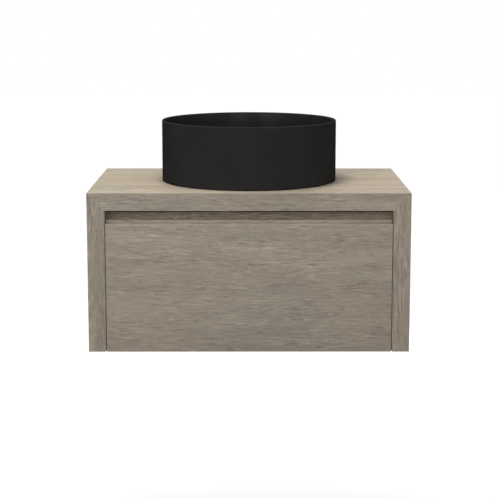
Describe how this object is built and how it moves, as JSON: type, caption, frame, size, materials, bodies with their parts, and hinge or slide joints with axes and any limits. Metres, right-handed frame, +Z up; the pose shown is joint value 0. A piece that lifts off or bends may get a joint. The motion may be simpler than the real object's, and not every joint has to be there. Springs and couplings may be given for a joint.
{
  "type": "vessel sink on vanity",
  "caption": "Wall-hung oak vanity with mitred casing, full-width handleless drawer on ball-bearing runners, round black vessel basin, press waste and bottle trap.",
  "frame": {"origin": "middle of the top panel's rear face, on the wall plane and 19 mm below the top surface", "axes": "+X to the right seen from the front, +Y into the wall, +Z up; the drawer front faces -Y"},
  "size_m": [0.7, 0.435, 0.4895],
  "materials": {
    "oak": "bleached grey-brown oak, matt open-pore",
    "carcass_board": "matt melamine on chipboard",
    "drawer_board": "grey linen-textured melamine",
    "black_ceramic": "satin black glaze",
    "black_metal": "matt black coating on brass",
    "zinc_steel": "bright zinc plate",
    "ball_steel": "polished bearing steel",
    "rubber": "matt black rubber",
    "silicone": "black silicone",
    "white_plastic": "moulded white polypropylene",
    "grey_plastic": "moulded grey plastic"
  },
  "bodies": {
    "cabinet": {"top_panel": "oak", "side_panel_left": "oak", "side_panel_right": "oak", "mitre_spline_left": "carcass_board", "mitre_spline_right": "carcass_board", "base_panel": "carcass_board", "finger_rail": "oak", "hanging_rail": "carcass_board", "front_bumper_left": "rubber", "front_bumper_right": "rubber", "wall_rail": "zinc_steel", "hanger_left": "zinc_steel", "hanger_right": "zinc_steel", "hanger_hook_left": "zinc_steel", "hanger_hook_right": "zinc_steel", "runner_cabinet_member_left": "zinc_steel", "runner_cabinet_member_right": "zinc_steel", "basin": "black_ceramic", "basin_bedding": "silicone", "waste_body": "black_metal", "waste_upper_seal": "rubber", "waste_lower_seal": "rubber", "waste_backnut": "black_metal", "trap_inlet_seal": "rubber", "trap_dip_tube": "white_plastic", "trap_inlet_nut": "white_plastic", "trap_neck_nut": "white_plastic", "trap_body": "white_plastic", "trap_cup_seal": "rubber", "trap_cup": "white_plastic", "trap_outlet_nut": "white_plastic", "trap_outlet_pipe": "white_plastic", "wall_escutcheon": "white_plastic"},
    "drawer": {"drawer_front": "oak", "drawer_subfront": "drawer_board", "drawer_side_left": "drawer_board", "drawer_side_right": "drawer_board", "drawer_back_left": "drawer_board", "drawer_back_right": "drawer_board", "drawer_bottom": "drawer_board", "siphon_surround": "grey_plastic", "runner_drawer_member_left": "zinc_steel", "runner_drawer_member_right": "zinc_steel"},
    "middle_member_left": {"runner_middle_member_left": "zinc_steel"},
    "middle_member_right": {"runner_middle_member_right": "zinc_steel"},
    "outer_cage_left": {"outer_ball_cage_left": "ball_steel"},
    "outer_cage_right": {"outer_ball_cage_right": "ball_steel"},
    "inner_cage_left": {"inner_ball_cage_left": "ball_steel"},
    "inner_cage_right": {"inner_ball_cage_right": "ball_steel"},
    "plug": {"waste_plug": "black_metal", "waste_plug_seal": "rubber"}
  },
  "joints": [
    {"name": "drawer_slide", "type": "slide", "parent": "cabinet", "child": "drawer", "axis": [0, -1, 0], "range_m": [0, 0.35]},
    {"name": "middle_slide_left", "type": "slide", "parent": "cabinet", "child": "middle_member_left", "axis": [0, -1, 0], "range_m": [0, 0.176]},
    {"name": "middle_slide_right", "type": "slide", "parent": "cabinet", "child": "middle_member_right", "axis": [0, -1, 0], "range_m": [0, 0.176]},
    {"name": "outer_cage_slide_left", "type": "slide", "parent": "cabinet", "child": "outer_cage_left", "axis": [0, -1, 0], "range_m": [0, 0.088]},
    {"name": "outer_cage_slide_right", "type": "slide", "parent": "cabinet", "child": "outer_cage_right", "axis": [0, -1, 0], "range_m": [0, 0.088]},
    {"name": "inner_cage_slide_left", "type": "slide", "parent": "cabinet", "child": "inner_cage_left", "axis": [0, -1, 0], "range_m": [0, 0.263]},
    {"name": "inner_cage_slide_right", "type": "slide", "parent": "cabinet", "child": "inner_cage_right", "axis": [0, -1, 0], "range_m": [0, 0.263]},
    {"name": "plug_slide", "type": "slide", "parent": "cabinet", "child": "plug", "axis": [0, 0, 1], "range_m": [0, 0.008]}
  ],
  "couplings": [
    {"joint": "middle_slide_left", "follows": "drawer_slide", "ratio": 0.5},
    {"joint": "middle_slide_right", "follows": "drawer_slide", "ratio": 0.5},
    {"joint": "outer_cage_slide_left", "follows": "drawer_slide", "ratio": 0.25},
    {"joint": "outer_cage_slide_right", "follows": "drawer_slide", "ratio": 0.25},
    {"joint": "inner_cage_slide_left", "follows": "drawer_slide", "ratio": 0.75},
    {"joint": "inner_cage_slide_right", "follows": "drawer_slide", "ratio": 0.75}
  ]
}
